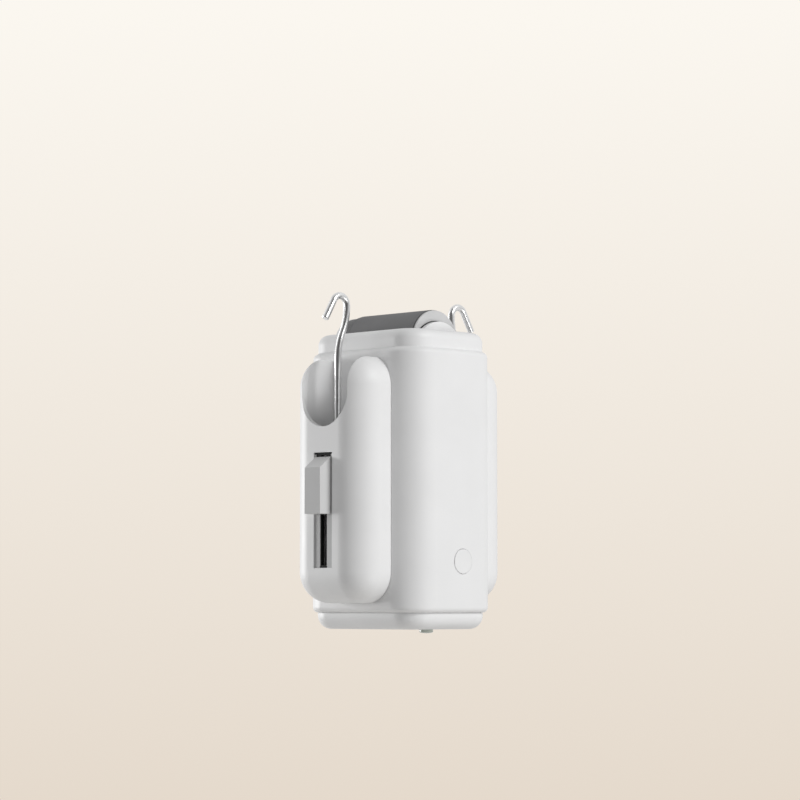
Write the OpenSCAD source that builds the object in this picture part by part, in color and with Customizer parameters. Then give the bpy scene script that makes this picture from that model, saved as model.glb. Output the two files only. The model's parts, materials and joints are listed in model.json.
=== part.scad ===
// Smart curtain robot: a hanging roller drive with two wire hooks.
// X runs along the rail, -Y is the front with the button, +Z is up.
// Heights are written from the underside of the bottom cap, and the finished
// part is shifted so that its origin is the crown of the roller.

/* [Housing] */
// Width of the housing along the rail
body_w = 46; // [44:0.5:52]
// Depth of the housing from front to back
body_d = 59; // [57:0.5:64]
// Radius of the housing's upright corners
corner_r = 12; // [11:0.5:13]
// Thickness of the moulded walls
wall = 2; // [1.8:0.1:2.2]
// Height of the bottom cap
bottom_cap_h = 6; // [5.8:0.1:6.5]
// Height of the housing between its two caps
housing_h = 95.5; // [93:0.5:99]
// Height of the top cap
top_cap_h = 7.1; // [6.6:0.1:7.6]
// How far the caps stand in from the housing all round
cap_inset = 1.85; // [1.6:0.05:2]
// Rounding of the housing's upper and lower edges
housing_edge_r = 2; // [1.6:0.1:2.6]
// Rounding of the top cap's upper edge
top_edge_r = 3.8; // [3.4:0.1:3.9]
// Rounding of the bottom cap's lower edge
bottom_edge_r = 5; // [4.6:0.1:5.4]

/* [Pods] */
// How far a pod stands out from the housing
pod_out = 16.3; // [15.8:0.1:17]
// Width of a pod from front to back
pod_w = 37.2; // [36:0.2:38]
// Rounding of a pod's four corners, seen along the rail
pod_corner_r = 11.5; // [11.2:0.1:13]
// Rounding of a pod's outer edge, all round
pod_edge_r = 11; // [9:0.1:11.1]
// Height of a pod's underside
pod_z = 9.4; // [9:0.1:11]
// Height of a pod from its underside to its horns
pod_h = 89.8; // [87:0.2:90]
// Width of the notch between the horns
notch_w = 23.4; // [22:0.2:24]
// Depth of the notch below the tips of the horns
notch_h = 26.2; // [24:0.2:28]

/* [Sliders] */
// Width of the finger piece
slider_w = 8; // [7:0.1:8.4]
// Height of the finger piece
slider_h = 20.6; // [19:0.2:22]
// How far the finger piece stands out of the pod
slider_out = 5.2; // [4.5:0.1:6]
// Height of the slope at the top of the finger piece
slider_slope = 4; // [3:0.1:5]
// Travel of the slider, downwards from rest
slider_travel = 19; // [17:0.2:19.2]
// Height of the upper end of the slot
slot_top_z = 63.6; // [63:0.1:64.5]
// Free height above the slider at rest
slider_rest = 1.6; // [1:0.1:2]
// Depth of the recess round the slot
slot_recess = 0.5; // [0.4:0.05:0.8]
// Width of the slit through the pod's wall
slit_w = 3.5; // [3.3:0.1:3.8]

/* [Hooks] */
// Diameter of the hook wire
wire_d = 2.5; // [2.2:0.1:2.6]
// Depth of the upright shank behind the pod's outer face
shank_in = 7.5; // [7.2:0.1:7.8]
// Height at which the shank starts to lean inwards
lean_z = 97.9; // [97:0.1:99]
// How far the shank leans inwards
lean_in = 4.4; // [4:0.1:5]
// Height taken by the lean
lean_h = 19.5; // [18:0.5:21]
// Bend radius of the hook at its crown
hook_r = 3.5; // [3.4:0.1:4]
// Slant of the hook's tip from upright
tip_angle = 31; // [28:1:34]
// Length of the hook's straight tip
tip_len = 8.4; // [7:0.2:9]

/* [Roller] */
// Radius of the rubber sleeve
roller_r = 11.8; // [11.4:0.1:12]
// Distance of the roller's ends from the front and back of the top cap
roller_inset = 9.15; // [9:0.05:10]
// Height of the roller's crown above the top cap
roller_proud = 8; // [7.6:0.1:8.4]
// Thickness of the rubber sleeve
sleeve_t = 1.4; // [1.2:0.1:1.8]
// Thickness of the end discs of the roller's core
disc_t = 1.2; // [1:0.1:1.4]
// Radius of the bearing arch in front of the roller
arch_r = 12.3; // [11.5:0.1:13]
// Height of the bearing arch above the top cap
arch_h = 3.5; // [3:0.1:4]
// Thickness of the bearing arch
arch_t = 2.1; // [1.8:0.1:2.4]
// Diameter of the roller's axle
axle_d = 5; // [4:0.2:5.4]

/* [Gears] */
// Module of the gear teeth
gear_m = 0.8; // [0.76:0.01:0.82]
// Width of the gears
gear_w = 3; // [2.6:0.1:3.2]
// Diameter of the motor shaft and the idler's pin
shaft_d = 3; // [2.8:0.1:3.2]

/* [Electrics] */
// Diameter of the gear motor
motor_d = 20; // [18:0.2:20.4]
// Length of the gear motor
motor_len = 35; // [32:0.5:36]
// Length of the motor's gearbox
gearbox_len = 14; // [12:0.5:15]
// Diameter of a battery cell
cell_d = 18.4; // [18:0.1:18.6]
// Length of a battery cell
cell_len = 50; // [46:0.5:51]
// Diameter of the button
button_d = 9; // [8.4:0.1:9.6]
// Place of the button to the right of the middle
button_x = 2.8; // [0:0.2:5]
// Height of the button's middle
button_z = 24.5; // [22:0.5:30]
// Travel of the button
button_travel = 0.5; // [0.4:0.05:0.6]
// Diameter of the light sensor's lens
lens_d = 5; // [4.6:0.1:5.4]
// How far the lens stands out below the bottom cap
lens_out = 1.5; // [1.2:0.1:1.8]

/* [Fits] */
// Radial clearance of turning pieces
run_gap = 0.04; // [0.03:0.01:0.06]
// Radial clearance of fixed pins and screws
pin_gap = 0.03; // [0.02:0.01:0.05]
// Clearance round pieces that slide
slide_gap = 0.3; // [0.25:0.05:0.35]

/* [Hidden] */
$fn = 64;
// Overlap that carries a cut past a face
cut = 1;

// Heights of the stack, from the underside of the bottom cap
housing_z = bottom_cap_h;
housing_top = housing_z + housing_h;
cap_top = housing_top + top_cap_h;
crown_z = cap_top + roller_proud;
roller_z = crown_z - roller_r;

// Inside of the housing
inner_w = body_w - 2 * wall;
inner_d = body_d - 2 * wall;
inner_r = corner_r - wall;
cap_w = body_w - 2 * cap_inset;
cap_d = body_d - 2 * cap_inset;
cap_r = corner_r - cap_inset;
// Rounding of the edges at the seams
seam_r = 0.4;
// Wall of the caps, measured at their edges
cap_wall = 2.5;
roof_z = cap_top - wall;
lip_gap = 0.1;
lip_t = 1.6;
lip_h = 3;

// Pod heights and faces
side_x = body_w / 2;
pod_face_x = side_x + pod_out;
pod_top = pod_z + pod_h;
notch_r = notch_w / 2;
notch_z = pod_top - notch_h;

// Slider and its slot
slot_side = 0.7;
slot_w = slider_w + 2 * slot_side;
slider_top = slot_top_z - slider_rest;
slider_z = slider_top - slider_h;
slot_z = slider_z - slider_travel - slide_gap;
slit_end = 0.6;
entry_w = 7.6;
entry_h = 3.2;
liner_t = 0.4;
stem_w = slit_w - 2 * liner_t - 2 * slide_gap;
stem_inset = 3;
shank_x = pod_face_x - shank_in;

// Carriage behind the slot
carriage_w = 10;
carriage_t = 8.2;
carriage_h = slider_h - 2 * stem_inset;
carriage_z = slider_z + stem_inset;
carriage_x = pod_face_x - wall - slide_gap - carriage_t;
guide_t = 2;
detent_t = 0.6;
detent_inset = 1;
bump_r = 0.9;
bump_out = 0.4;
bump_w = 3;

// Roller, arch and gears along the axle
roller_len = cap_d - 2 * roller_inset;
roller_front = -roller_len / 2;
roller_back = roller_len / 2;
core_r = roller_r - sleeve_t;
disc_step = 0.2;
disc_r = roller_r - disc_step;
window_gap = 0.5;
end_gap = 0.3;
seat_gap = 0.1;
// Room round the axle where it only passes through
loose_gap = 0.4;
axle_r = axle_d / 2;
hub_wall = 2;
hub_r = axle_r + hub_wall;
hub_gap = 0.6;
recess_h = 3;
arch_back = roller_front - end_gap;
arch_front = arch_back - arch_t;
arch_z = cap_top + arch_h - arch_r;
// Width of the arch where it leaves the top cap
arch_w = 2 * sqrt(arch_r * arch_r - (arch_r - arch_h) * (arch_r - arch_h));
foot_out = 5;
foot_len = 3;
foot_h = 3;
axle_floor = 0.8;
axle_play = 0.4;
bush_t = 1.2;
bush_len = 6;
collar_t = 2.6;
gear_space = 0.9;
gear_y = roller_back + gear_space;
roller_teeth = 22;
idler_teeth = 20;
pinion_teeth = 10;
idler_z = roller_z - gear_m * (roller_teeth + idler_teeth) / 2;
pinion_z = idler_z - gear_m * (idler_teeth + pinion_teeth) / 2;
addendum = 0.8 * gear_m;
dedendum = 1.1 * gear_m;
hood_t = 1.2;
hood_gap = 0.5;
hood_in_r = gear_m * roller_teeth / 2 + addendum + hood_gap;
gear_end = gear_y + gear_w;
gear_room = 0.4;
hood_end_t = 1;
hood_back = gear_end + gear_room + hood_end_t;
hood_floor = 0.5;
pin_play = 0.2;
pin_head_out = 1;
pin_head_t = 0.8;
shaft_in = 10;
shaft_play = 0.4;
can_step = 1;
tail_r = 3;
tail_len = 2;
nose_t = 1.6;

// Inner frame
plate_t = 2;
plate_w = inner_w - slide_gap;
plate_space = 0.8;
plate_end_gap = 0.4;
roller_gap = 0.6;
plate_back = gear_y - plate_space;
plate_y = plate_back - plate_t;
plate_z = housing_z + lip_h + plate_end_gap;
plate_top = roller_z - roller_r - roller_gap;
// The rear cover parts from the tub at the back of the plate
split_y = plate_back;
shelf_t = 2;
shelf_z = plate_z;
cell_z = shelf_z + shelf_t;
cell_gap = 0.4;
cell_clear = 0.2;
// The cells stand side by side, closer together where the housing is narrow
cell_x = min(cell_d / 2 + cell_gap, inner_w / 2 - cell_clear - cell_d / 2);
cell_y = -1;
cell_tip_h = 1.5;
cell_tip_d = 6;
cup_h = 16;
cup_t = 1;
cup_gap = 0.2;
web_t = 2;

// Circuit board
board_t = 1.6;
board_in = 7.2;
board_y = -body_d / 2 + board_in;
board_w = 34;
board_z = plate_z;
board_h = 50;
post_r = 2.5;
post_bore = 4;
switch_w = 6;
plunger_r = 1.7;
plunger_h = 0.8;
switch_gap = 0.1;
flange_t = 0.8;
flange_r = button_d / 2 + 1;
button_proud = 0.2;
button_gap = 0.1;
flange_gap = 0.1;
socket_w = 9;
socket_t = 3.2;
socket_depth = 6.4;
socket_sink = 0.6;
socket_up = 3;
socket_wall = 0.35;
socket_gap = 0.2;
socket_x = -5;
socket_y = board_y + board_t + socket_t / 2;
lens_in = 16;
lens_y = -body_d / 2 + lens_in;
lens_flange = 1;
lens_flange_t = 1;

// Screws
screw_r = 1.2;
screw_head_r = 2.3;
screw_head_h = 1.5;
screw_len = 8;
head_gap = 0.2;
post_wall = 0.7;
cover_seat = 4;
cover_screw_in = 5;
cover_screw_x = inner_w / 2 - cover_screw_in;
cover_screw_low = 10;
cover_screw_high = 6;
cover_screw_z = [housing_z + cover_screw_low, plate_top - cover_screw_high];
pod_screw_in = 6.2;
plate_clear = 1.9;
pod_screw_y = min(pod_w / 2 - pod_screw_in, plate_y - screw_head_r - plate_clear);
pod_screw_low = 8;
pod_screw_high = 2;
pod_screw_z = [pod_z + pod_screw_low, slot_top_z - pod_screw_high];
board_hole_in = 4;
board_hole_end = 5;
board_screw_x = board_w / 2 - board_hole_in;
board_screw_z = [board_z + board_hole_end, board_z + board_h - board_hole_end];
board_screw_in = 3;

// Shared shapes

// Cylinder along Y, from y to y + len, round the point x, z
module rod_y(x, y, z, r, len) {
  translate([x, y + len, z]) rotate([90, 0, 0]) cylinder(h = len, r = r);
}

// Cylinder along X, from x to x + len, round the point y, z
module rod_x(x, y, z, r, len) {
  translate([x, y, z]) rotate([0, 90, 0]) cylinder(h = len, r = r);
}

// Block from x0 to x1, y0 to y1 and z0 to z1
module block(x0, x1, y0, y1, z0, z1) {
  translate([x0, y0, z0]) cube([x1 - x0, y1 - y0, z1 - z0]);
}

// Rounded rectangle, centred
module round_plan(w, d, r) {
  square([w - 2 * r, d], center = true);
  square([w, d - 2 * r], center = true);
  for (sx = [-1, 1], sy = [-1, 1])
    translate([sx * (w / 2 - r), sy * (d / 2 - r)]) circle(r);
}

// Straight prism on a rounded rectangle
module round_prism(w, d, r, z0, z1) {
  translate([0, 0, z0]) linear_extrude(z1 - z0) round_plan(w, d, r);
}

// Half section of a slab's edge: r deep and h high, rounded below and above
module edge_section(r, h, low_r, high_r) {
  intersection() {
    square([r, h]);
    union() {
      translate([0, low_r]) square([r, h - low_r - high_r]);
      square([r - low_r, h - high_r]);
      translate([0, low_r]) square([r - high_r, h - low_r]);
      translate([r - low_r, low_r]) circle(low_r);
      translate([r - high_r, h - high_r]) circle(high_r);
    }
  }
}

// Slab on a rounded rectangle, with its lower and upper edges rounded
module round_slab(w, d, r, z0, h, low_r, high_r) {
  side_w = w / 2 - r;
  side_d = d / 2 - r;
  translate([0, 0, z0]) {
    linear_extrude(h) square([2 * side_w, 2 * side_d], center = true);
    for (turn = [0, 180]) rotate(turn) {
      translate([side_w, side_d, 0]) rotate_extrude(angle = 90)
        edge_section(r, h, low_r, high_r);
      translate([-side_w, side_d, 0]) rotate(90) rotate_extrude(angle = 90)
        edge_section(r, h, low_r, high_r);
      translate([side_w, side_d, 0]) rotate([90, 0, 0]) linear_extrude(2 * side_d)
        edge_section(r, h, low_r, high_r);
      translate([-side_w, side_d, 0]) rotate([90, 0, 90]) linear_extrude(2 * side_w)
        edge_section(r, h, low_r, high_r);
    }
  }
}

// Screw along +Y from its head's seat, with a round head
module screw_y(x, y, z) {
  rod_y(x, y - screw_head_h, z, screw_head_r, screw_head_h);
  rod_y(x, y, z, screw_r, screw_len);
}

// Gear outline: straight-sided stub teeth with a tooth centred on angle first
module gear_plan(teeth, first) {
  pitch_r = gear_m * teeth / 2;
  tooth = 360 / teeth;
  // Half angles of a tooth at its root, pitch line and tip
  half = [0.34 * tooth, 0.215 * tooth, 0.11 * tooth];
  radius = [pitch_r - dedendum, pitch_r, pitch_r + addendum];
  points = [
    for (i = [0 : teeth - 1])
      for (side = [[-1, 0], [-1, 1], [-1, 2], [1, 2], [1, 1], [1, 0]])
        let (angle = first + i * tooth + side[0] * half[side[1]])
          radius[side[1]] * [cos(angle), sin(angle)]
  ];
  polygon(points);
}

// Spur gear on an axis along Y, with a bore
module gear_y_axis(z, teeth, first, bore_r) {
  translate([0, gear_y + gear_w, z]) rotate([90, 0, 0]) difference() {
    linear_extrude(gear_w) gear_plan(teeth, first);
    translate([0, 0, -cut]) cylinder(h = gear_w + 2 * cut, r = bore_r);
  }
}

// Housing

// The whole housing's wall, before it is parted into tub and cover
module housing_shell() {
  difference() {
    round_slab(body_w, body_d, corner_r, housing_z, housing_h, housing_edge_r, housing_edge_r);
    round_prism(inner_w, inner_d, inner_r, housing_z - cut, housing_top + cut);
  }
}

module main_housing() {
  color("white") difference() {
    union() {
      difference() {
        housing_shell();
        block(-body_w, body_w, split_y, body_d, housing_z - cut, housing_top + cut);
      }
      for (x = [-1, 1], z = board_screw_z)
        rod_y(x * board_screw_x, -inner_d / 2 - wall / 2, z, post_r, board_y + inner_d / 2 + wall / 2);
    }
    rod_y(button_x, -body_d / 2 - cut, button_z, button_d / 2 + button_gap, wall + 2 * cut);
    for (x = [-1, 1], z = board_screw_z)
      rod_y(x * board_screw_x, board_y - post_bore, z, screw_r + pin_gap, post_bore + cut);
    for (side = [-1, 1], y = [-pod_screw_y, pod_screw_y], z = pod_screw_z)
      rod_x(side * body_w / 2 - wall - cut, y, z, screw_r + pin_gap, 2 * wall + 2 * cut);
  }
}

module rear_cover() {
  color("white") difference() {
    union() {
      intersection() {
        housing_shell();
        block(-body_w, body_w, split_y, body_d, housing_z - cut, housing_top + cut);
      }
      for (x = [-1, 1], z = cover_screw_z)
        rod_y(x * cover_screw_x, plate_back, z, screw_head_r + head_gap + post_wall,
          inner_d / 2 - plate_back + wall / 2);
    }
    for (x = [-1, 1], z = cover_screw_z) {
      rod_y(x * cover_screw_x, plate_back - cut, z, screw_r + pin_gap, inner_d);
      rod_y(x * cover_screw_x, plate_back + cover_seat, z, screw_head_r + head_gap, inner_d);
    }
  }
}

// Ring that centres a cap in the housing
module cap_lip(z0) {
  difference() {
    round_prism(inner_w - 2 * lip_gap, inner_d - 2 * lip_gap, inner_r - lip_gap, z0, z0 + lip_h + cut);
    round_prism(inner_w - 2 * lip_t, inner_d - 2 * lip_t, inner_r - lip_t, z0 - cut, z0 + lip_h + 2 * cut);
  }
}

module top_cap() {
  hood_r = hood_in_r + hood_t;
  gear_wall = gear_end + gear_room;
  window = roller_r + window_gap;
  color("white") difference() {
    union() {
      difference() {
        round_slab(cap_w, cap_d, cap_r, housing_top, top_cap_h, seam_r, top_edge_r);
        round_prism(cap_w - 2 * cap_wall, cap_d - 2 * cap_wall, cap_r - cap_wall, housing_top - cut, roof_z);
      }
      cap_lip(housing_top - lip_h);
      rod_y(0, roller_back + end_gap, roller_z, hood_r, hood_back - roller_back - end_gap);
    }
    // Window of the roller, and of the arch in front of it
    block(-window, window, roller_front - end_gap, roller_back + end_gap, housing_top - cut, cap_top + cut);
    block(-arch_w / 2 - seat_gap, arch_w / 2 + seat_gap, arch_front - seat_gap, roller_front,
      housing_top - cut, cap_top + cut);
    // Room for the gear under its hood
    rod_y(0, roller_back, roller_z, hood_in_r, gear_wall - roller_back);
    block(-hood_in_r, hood_in_r, roller_back, gear_wall, roller_z - hood_r - cut, roller_z);
    rod_y(0, roller_back, roller_z, axle_r + pin_gap, hood_back - roller_back - hood_floor);
  }
}

module bottom_cap() {
  color("white") difference() {
    union() {
      difference() {
        round_slab(cap_w, cap_d, cap_r, 0, bottom_cap_h, bottom_edge_r, seam_r);
        round_prism(cap_w - 2 * cap_wall, cap_d - 2 * cap_wall, cap_r - cap_wall, wall, bottom_cap_h + cut);
      }
      cap_lip(bottom_cap_h - cut);
    }
    translate([0, lens_y, -cut]) cylinder(h = wall + 2 * cut, r = lens_d / 2 + pin_gap);
    translate([socket_x, socket_y, -cut]) linear_extrude(wall + 2 * cut)
      round_plan(socket_w + 2 * socket_gap, socket_t + 2 * socket_gap, socket_t / 2);
  }
}

// Side pods, drawn for the right side and mirrored for the left

// Pod's outer form, or its cavity with a wall left all round
module pod_form(inset, start_x) {
  translate([start_x, 0, pod_z + pod_h / 2]) rotate([90, 0, 90])
    round_slab(pod_w - 2 * inset, pod_h - 2 * inset, pod_corner_r - inset, 0,
      pod_face_x - inset - start_x, seam_r, pod_edge_r - inset);
}

// Cut along the rail that leaves two horns at the pod's top
module pod_notch() {
  translate([side_x - cut, 0, notch_z + notch_r]) rotate([90, 0, 90]) linear_extrude(pod_out + 2 * cut) {
    circle(notch_r);
    translate([-notch_r, 0]) square([notch_w, notch_h]);
  }
}

// Slit of the slider with a wider upper end, through which the stem is put in
module slit_form(x0, x1, inset) {
  top_z = slot_top_z - slit_end - inset;
  half = slit_w / 2 - inset;
  entry_half = entry_w / 2 - inset;
  block(x0, x1, -half, half, slot_z + slit_end + inset, top_z);
  block(x0, x1, -entry_half, entry_half, slot_top_z - slit_end - entry_h + inset, top_z);
}

module pod() {
  difference() {
    pod_form(0, side_x);
    pod_notch();
    difference() {
      union() {
        intersection() {
          pod_form(wall, side_x - cut);
          block(0, pod_face_x, -pod_w, pod_w, pod_z, notch_z - wall);
        }
        block(side_x - cut, pod_face_x - wall, -notch_r, notch_r, slot_top_z, pod_top);
      }
      // Guide ribs beside the carriage, and posts for the screws
      for (s = [-1, 1])
        translate([carriage_x, s * (carriage_w / 2 + slide_gap + guide_t / 2), pod_z])
          translate([0, -guide_t / 2, 0]) cube([pod_out, guide_t, slot_top_z - pod_z + wall]);
      for (y = [-pod_screw_y, pod_screw_y], z = pod_screw_z)
        rod_x(side_x - 2 * cut, y, z, screw_head_r + post_wall, pod_out);
    }
    // Recess and slit of the slider
    block(pod_face_x - slot_recess, pod_face_x + cut, -slot_w / 2, slot_w / 2, slot_z, slot_top_z);
    slit_form(pod_face_x - wall - cut, pod_face_x + cut, 0);
    for (y = [-pod_screw_y, pod_screw_y], z = pod_screw_z)
      rod_x(side_x - cut, y, z, screw_r + pin_gap, screw_len + cut);
  }
}

module left_pod() { color("white") mirror([1, 0, 0]) pod(); }
module right_pod() { color("white") pod(); }

// Black liner that fills the slit's walls and leaves a channel for the stem
module slot_liner() {
  back_x = pod_face_x - wall;
  half = stem_w / 2 + slide_gap;
  difference() {
    slit_form(back_x, pod_face_x - slot_recess, pin_gap);
    block(back_x - cut, pod_face_x, -half, half, slot_z + slit_end + liner_t, slot_top_z - slit_end - liner_t);
  }
}

module left_slot_liner() { color("black") mirror([1, 0, 0]) slot_liner(); }
module right_slot_liner() { color("black") slot_liner(); }

// Finger piece: a block with a sloped top, and a stem through the slit
module slider() {
  seat_x = pod_face_x - slot_recess + slide_gap;
  outer_x = pod_face_x + slider_out;
  translate([0, slider_w / 2, 0]) rotate([90, 0, 0]) linear_extrude(slider_w) polygon([
    [seat_x, slider_z], [outer_x, slider_z], [outer_x, slider_top - slider_slope],
    [pod_face_x, slider_top], [seat_x, slider_top]
  ]);
  block(carriage_x + carriage_t, seat_x + cut, -stem_w / 2, stem_w / 2, carriage_z, carriage_z + carriage_h);
}

module left_slider() { color("white") mirror([1, 0, 0]) slider(); }
module right_slider() { color("white") slider(); }

// Carriage that joins the slider's stem to the hook's shank
module carriage() {
  difference() {
    block(carriage_x, carriage_x + carriage_t, -carriage_w / 2, carriage_w / 2,
      carriage_z, carriage_z + carriage_h);
    translate([shank_x, 0, carriage_z + wall]) cylinder(h = carriage_h, r = wire_d / 2 + pin_gap);
  }
}

module left_carriage() { color("dimgray") mirror([1, 0, 0]) carriage(); }
module right_carriage() { color("dimgray") carriage(); }

// Flat spring on the carriage's back that catches in the pod's ribs
module detent_spring() {
  block(carriage_x - detent_t, carriage_x, -carriage_w / 2 + detent_inset, carriage_w / 2 - detent_inset,
    carriage_z + detent_inset, carriage_z + carriage_h - detent_inset);
  rod_y(carriage_x - detent_t - bump_out, -bump_w / 2, carriage_z + carriage_h / 2, bump_r, bump_w);
}

module left_detent_spring() { color("silver") mirror([1, 0, 0]) detent_spring(); }
module right_detent_spring() { color("silver") detent_spring(); }

// Stations along an arc of wire in the XZ plane: x, z and the angle across the wire
function arc_stations(x, z, r, from, to, steps, turn) = [
  for (i = [1 : steps])
    let (angle = from + (to - from) * i / steps)
      [x + r * cos(angle), z + r * sin(angle), angle + turn]
];

// Hook: straight shank, two arcs that lean inwards, crown and slanted tip
lean_angle = 2 * atan(lean_in / lean_h);
lean_r = lean_h / (2 * sin(lean_angle));
crown_x = shank_x - lean_in + hook_r;
crown_bend_z = lean_z + lean_h;
tip_x = crown_x + hook_r * cos(tip_angle);
tip_z = crown_bend_z + hook_r * sin(tip_angle);
shank_z = carriage_z + wall;
hook_stations = concat(
  [[shank_x, shank_z, 0], [shank_x, lean_z, 0]],
  arc_stations(shank_x - lean_r, lean_z, lean_r, 0, lean_angle, 6, 0),
  arc_stations(shank_x - lean_in + lean_r, crown_bend_z, lean_r, 180 + lean_angle, 180, 6, -180),
  arc_stations(crown_x, crown_bend_z, hook_r, 180, tip_angle, 14, -180),
  [[tip_x + tip_len * sin(tip_angle), tip_z - tip_len * cos(tip_angle), tip_angle - 180]]
);

module hook() {
  sides = 16;
  rings = len(hook_stations);
  points = [
    for (station = hook_stations, j = [0 : sides - 1])
      let (across = wire_d / 2 * cos(360 * j / sides))
        [station[0] + across * cos(station[2]), wire_d / 2 * sin(360 * j / sides),
         station[1] + across * sin(station[2])]
  ];
  walls = [
    for (k = [0 : rings - 2], j = [0 : sides - 1])
      let (a = k * sides + j, b = k * sides + (j + 1) % sides)
        each [[a, a + sides, b + sides], [a, b + sides, b]]
  ];
  first_end = [for (j = [0 : sides - 1]) j];
  last_end = [for (j = [sides - 1 : -1 : 0]) (rings - 1) * sides + j];
  polyhedron(points, concat(walls, [first_end, last_end]));
}

module left_hook() { color("silver") mirror([1, 0, 0]) hook(); }
module right_hook() { color("silver") hook(); }

// Roller

module roller_core() {
  bush_r = axle_r + run_gap + bush_t;
  color("white") difference() {
    union() {
      rod_y(0, roller_front, roller_z, core_r, roller_len);
      rod_y(0, roller_front, roller_z, disc_r, disc_t);
      rod_y(0, roller_back - disc_t, roller_z, disc_r, disc_t);
    }
    rod_y(0, roller_front - cut, roller_z, axle_r + loose_gap, roller_len + 2 * cut);
    rod_y(0, roller_front - cut, roller_z, hub_r + hub_gap, recess_h + cut);
    rod_y(0, roller_front + recess_h - cut, roller_z, bush_r, bush_len + cut);
    rod_y(0, roller_back - bush_len, roller_z, bush_r, bush_len + cut);
  }
}

module roller_sleeve() {
  color("dimgray") difference() {
    rod_y(0, roller_front + disc_t, roller_z, roller_r, roller_len - 2 * disc_t);
    rod_y(0, roller_front, roller_z, core_r, roller_len);
  }
}

module roller_bushes() {
  color("goldenrod") for (y = [roller_front + recess_h, roller_back - bush_len]) difference() {
    rod_y(0, y, roller_z, axle_r + run_gap + bush_t, bush_len);
    rod_y(0, y - cut, roller_z, axle_r + run_gap, bush_len + 2 * cut);
  }
}

module roller_axle() {
  front_y = arch_front + axle_floor + axle_play;
  back_y = hood_back - hood_floor - axle_play;
  color("silver") rod_y(0, front_y, roller_z, axle_r, back_y - front_y);
}

// Arch in front of the roller, with a hub that holds the axle and a foot under the cap's roof
module front_boss() {
  half = arch_w / 2;
  color("white") difference() {
    union() {
      intersection() {
        rod_y(0, arch_front, arch_z, arch_r, arch_t);
        block(-half, half, arch_front, arch_back, roof_z - foot_h, crown_z);
      }
      rod_y(0, arch_front, roller_z, hub_r, arch_t + recess_h);
      block(-half - foot_out, half + foot_out, arch_front - foot_len, arch_back, roof_z - foot_h, roof_z);
    }
    rod_y(0, arch_front + axle_floor, roller_z, axle_r + pin_gap, roller_len);
  }
}

// Drive

module roller_gear() {
  color("ivory") {
    gear_y_axis(roller_z, roller_teeth, -90, axle_r + loose_gap);
    difference() {
      rod_y(0, roller_back, roller_z, axle_r + collar_t, gear_y - roller_back);
      rod_y(0, roller_back - cut, roller_z, axle_r + loose_gap, gear_y - roller_back + 2 * cut);
    }
  }
}

module idler_gear() {
  color("ivory") gear_y_axis(idler_z, idler_teeth, 90 + 180 / idler_teeth, shaft_d / 2 + run_gap);
}

module idler_pin() {
  head_y = gear_end + pin_play;
  color("silver") {
    rod_y(0, plate_y, idler_z, shaft_d / 2, head_y - plate_y);
    rod_y(0, head_y, idler_z, shaft_d / 2 + pin_head_out, pin_head_t);
  }
}

module motor_pinion() {
  color("goldenrod") gear_y_axis(pinion_z, pinion_teeth, 90, shaft_d / 2 + pin_gap);
}

module motor_shaft() {
  color("silver") rod_y(0, plate_y - shaft_in, pinion_z, shaft_d / 2, gear_end + shaft_in - plate_y);
}

module motor() {
  color("silver") difference() {
    union() {
      rod_y(0, plate_y - gearbox_len, pinion_z, motor_d / 2, gearbox_len);
      rod_y(0, plate_y - motor_len, pinion_z, motor_d / 2 - can_step, motor_len - gearbox_len);
      rod_y(0, plate_y - motor_len - tail_len, pinion_z, tail_r, tail_len);
      rod_y(0, plate_y, pinion_z, shaft_d / 2 + nose_t, plate_t);
    }
    rod_y(0, plate_y - shaft_in - shaft_play, pinion_z, shaft_d / 2 + run_gap,
      shaft_in + shaft_play + plate_t + cut);
  }
}

// Frame that carries motor, idler and battery
module inner_frame() {
  cup_r = cell_d / 2 + cup_gap;
  color("lightgray") difference() {
    union() {
      block(-plate_w / 2, plate_w / 2, plate_y, plate_back, plate_z, plate_top);
      // Shelf and cups, no wider than the plate
      intersection() {
        block(-plate_w / 2, plate_w / 2, -inner_d / 2, plate_y, shelf_z, shelf_z + shelf_t + cup_h);
        union() {
          block(-2 * cell_x, 2 * cell_x, cell_y - cell_d / 2 - cup_t, plate_y, shelf_z, cell_z);
          for (s = [-1, 1])
            translate([s * cell_x, cell_y, shelf_z]) cylinder(h = shelf_t + cup_h, r = cup_r + cup_t);
        }
      }
      // Web from the cups back to the plate
      block(-web_t / 2, web_t / 2, cell_y + cell_d / 2, plate_y, shelf_z, shelf_z + cup_h);
    }
    for (s = [-1, 1])
      translate([s * cell_x, cell_y, cell_z]) cylinder(h = cup_h + cut, r = cup_r);
    rod_y(0, plate_y - cut, idler_z, shaft_d / 2 + pin_gap, plate_t + 2 * cut);
    rod_y(0, plate_y - cut, pinion_z, shaft_d / 2 + nose_t + pin_gap, plate_t + 2 * cut);
    for (x = [-1, 1], z = cover_screw_z)
      rod_y(x * cover_screw_x, plate_y - cut, z, screw_r + pin_gap, plate_t + 2 * cut);
  }
}

// Electrics

module battery_cells() {
  color("seagreen") for (s = [-1, 1]) translate([s * cell_x, cell_y, cell_z]) {
    cylinder(h = cell_len - cell_tip_h, d = cell_d);
    translate([0, 0, cell_len - cell_tip_h]) cylinder(h = cell_tip_h, d = cell_tip_d);
  }
}

module main_pcb() {
  color("darkgreen") difference() {
    block(-board_w / 2, board_w / 2, board_y, board_y + board_t, board_z, board_z + board_h);
    for (x = [-1, 1], z = board_screw_z)
      rod_y(x * board_screw_x, board_y - cut, z, screw_r + pin_gap, board_t + 2 * cut);
  }
}

module tact_switch() {
  half = switch_w / 2;
  tip_y = flange_back + button_travel + switch_gap;
  color("black") {
    block(button_x - half, button_x + half, tip_y + plunger_h, board_y, button_z - half, button_z + half);
    rod_y(button_x, tip_y, button_z, plunger_r, plunger_h + cut / 2);
  }
}

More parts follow.
